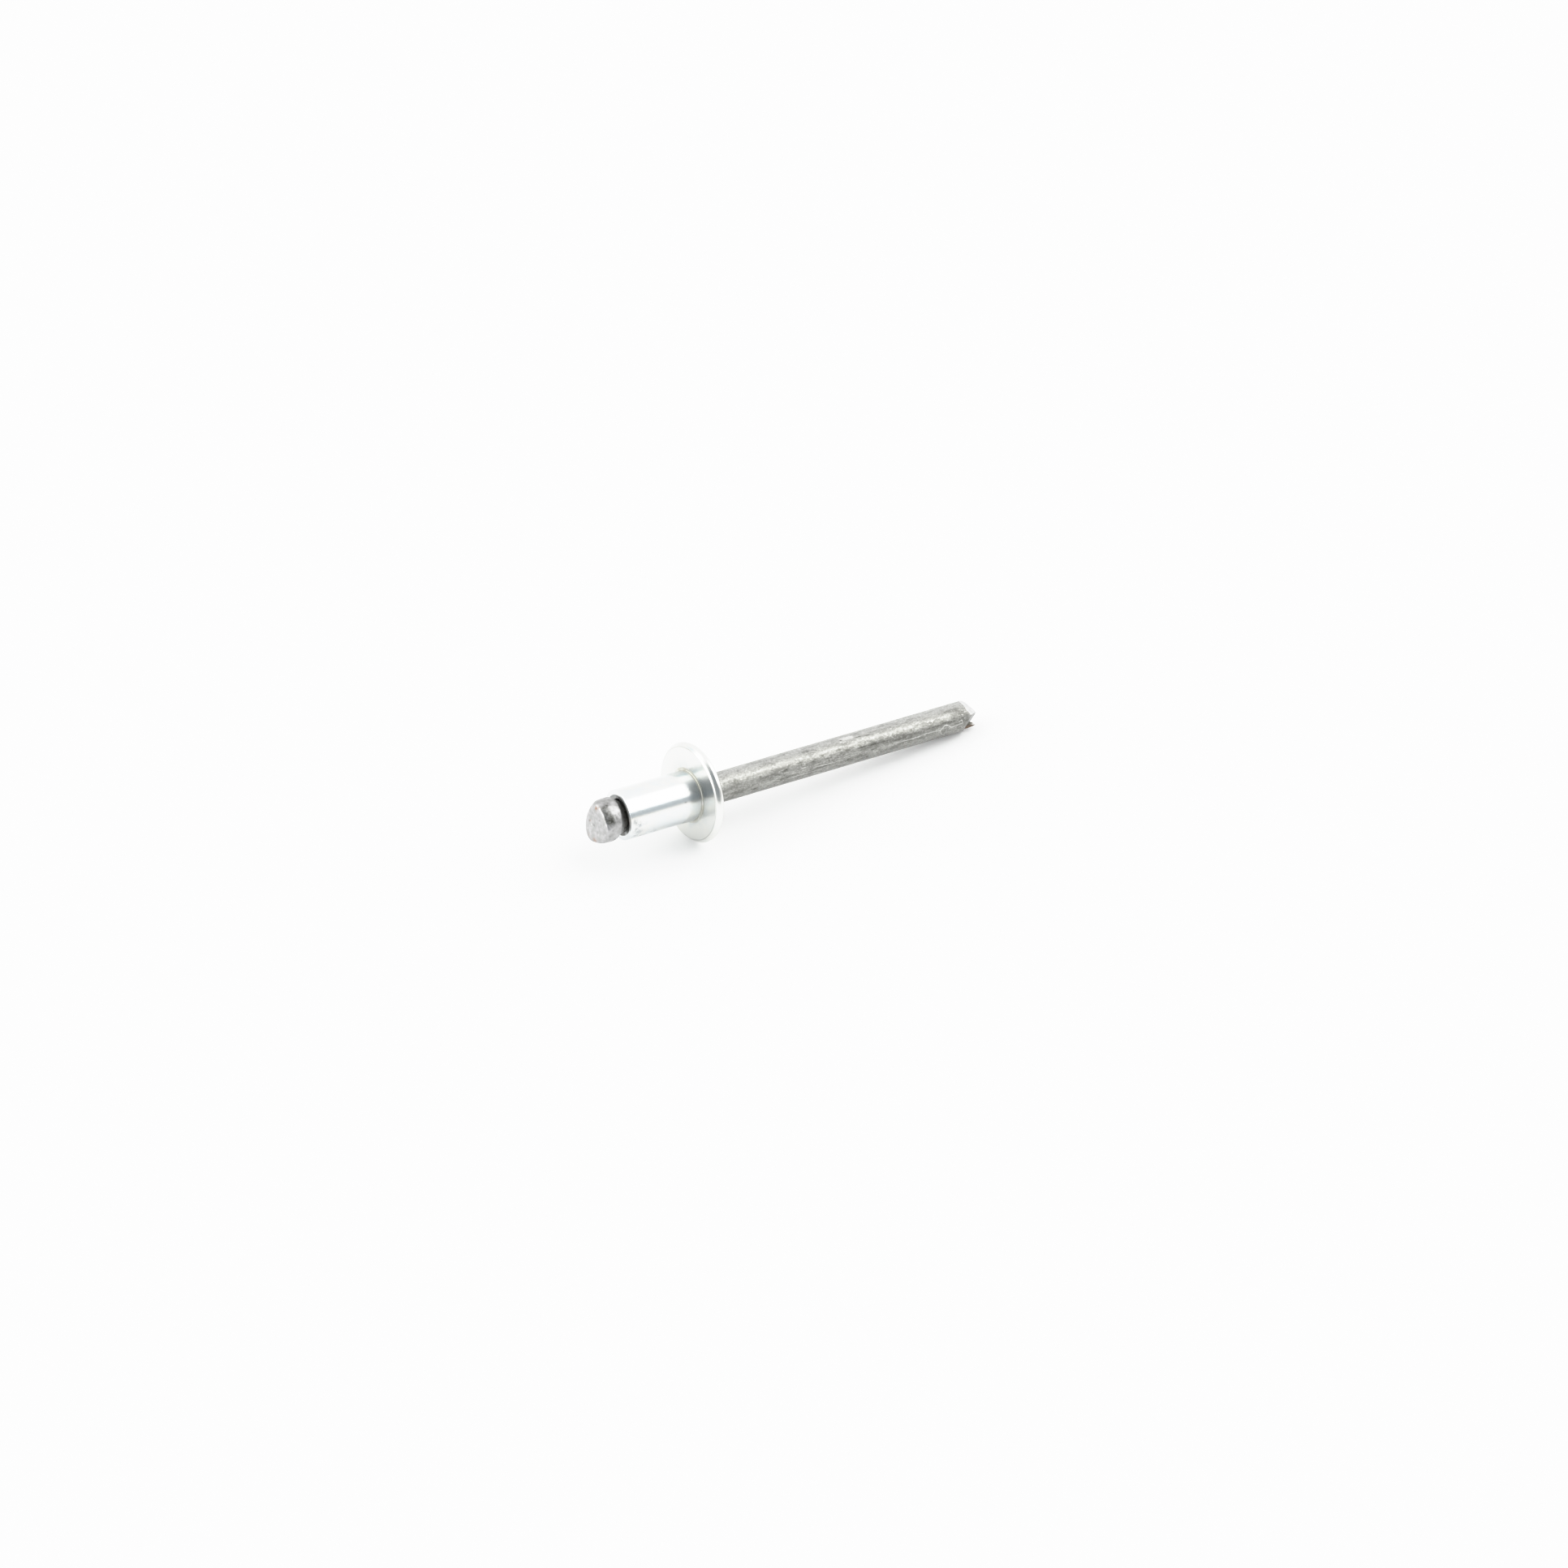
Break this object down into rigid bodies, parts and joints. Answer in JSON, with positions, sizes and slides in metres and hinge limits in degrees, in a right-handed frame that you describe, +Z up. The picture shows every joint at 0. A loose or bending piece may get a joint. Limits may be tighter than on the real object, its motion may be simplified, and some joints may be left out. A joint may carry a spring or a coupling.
{
  "type": "pop rivet",
  "caption": "Open-end pop rivet, unset: a hollow zinc-plated steel shell with a domed flange on a headed steel mandrel with a pinched tail, lying on its side.",
  "frame": {"origin": "on the barrel's axis, in the plane of the flange's seat, where the rivet meets the sheet", "axes": "+Z is up; the rivet lies on the rim of its flange and the tail of its mandrel, and its length runs along X, with +X towards the mandrel's tail. The barrel's axis dips 5.85 degrees below +X towards the tail."},
  "size_m": [0.0437, 0.0096, 0.0095],
  "materials": {
    "zinc_plated_steel": "bright zinc plating, smooth and reflective, bluish white with faint yellow and blue tints",
    "drawn_steel": "dull drawn wire, grey, with lengthwise streaks, scratches and dark blotches"
  },
  "bodies": {
    "root": {"rivet_body": "zinc_plated_steel", "mandrel": "drawn_steel"}
  },
  "joints": []
}
